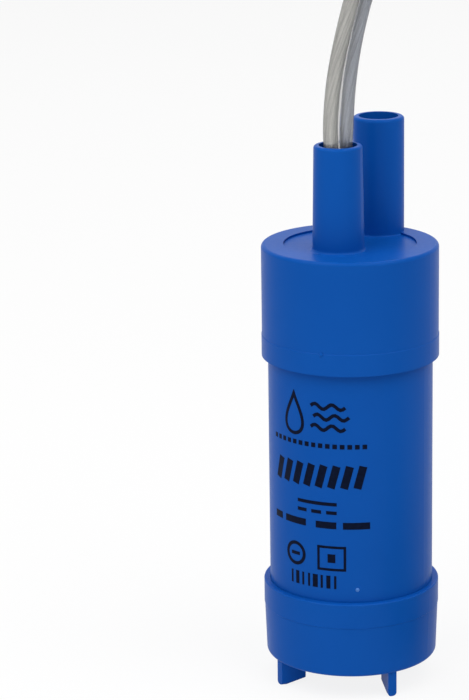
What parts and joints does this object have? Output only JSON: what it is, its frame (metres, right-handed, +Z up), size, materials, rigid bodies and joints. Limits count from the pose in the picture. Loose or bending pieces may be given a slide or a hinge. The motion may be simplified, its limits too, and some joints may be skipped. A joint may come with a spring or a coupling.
{
  "type": "submersible water pump",
  "caption": "Slim submersible water pump for a caravan's water can: round casing between two caps, feet under an inlet hole, a hose spigot and a flat twin cable on top.",
  "frame": {"origin": "on the floor, on the casing's axis, between the feet", "axes": "+Z up along the casing's axis, +Y from the cable spout towards the hose spigot"},
  "size_m": [0.1657, 0.0464, 0.1869],
  "materials": {
    "blue_housing": "gloss",
    "black_rubber": "matte",
    "grey_plastic": "satin",
    "white_plastic": "satin",
    "steel": "satin",
    "bronze": "satin",
    "ferrite": "matte",
    "copper": "satin",
    "carbon": "matte",
    "ceramic": "gloss",
    "resin": "gloss",
    "clear_pvc": "gloss",
    "insulation": "satin",
    "tie": "satin"
  },
  "bodies": {
    "housing": {"top_cap": "blue_housing", "cable_spout": "blue_housing", "hose_spigot": "blue_housing", "outer_casing": "blue_housing", "inlet_cap": "blue_housing", "feet": "blue_housing", "lower_o_ring": "black_rubber", "upper_o_ring": "black_rubber", "shaft_seal": "black_rubber", "diffuser": "grey_plastic", "motor_sleeve": "grey_plastic", "motor_end_cap": "grey_plastic", "motor_can": "steel", "seal_retainer": "steel", "magnet_springs": "steel", "lower_bush": "bronze", "upper_bush": "bronze", "terminals": "bronze", "brush_arms": "bronze", "magnets": "ferrite", "bare_ends": "copper", "carbon_brushes": "carbon", "suppression_capacitor": "ceramic", "motor_resin": "resin", "cable_potting": "resin", "cable_inner": "clear_pvc", "cable_lead": "clear_pvc", "cable_hank": "clear_pvc", "cable_cores": "clear_pvc", "inner_leads": "insulation", "cable_tie": "tie"},
    "rotor": {"motor_shaft": "steel", "rotor_core": "steel", "rotor_windings": "copper", "commutator_hub": "grey_plastic", "commutator_segments": "copper", "thrust_washers": "white_plastic", "impeller": "white_plastic"}
  },
  "joints": [
    {"name": "rotor_spin", "type": "hinge", "parent": "housing", "child": "rotor", "pos_m": [0, 0, 0.03], "axis": [0, 0, 1], "continuous": true}
  ]
}
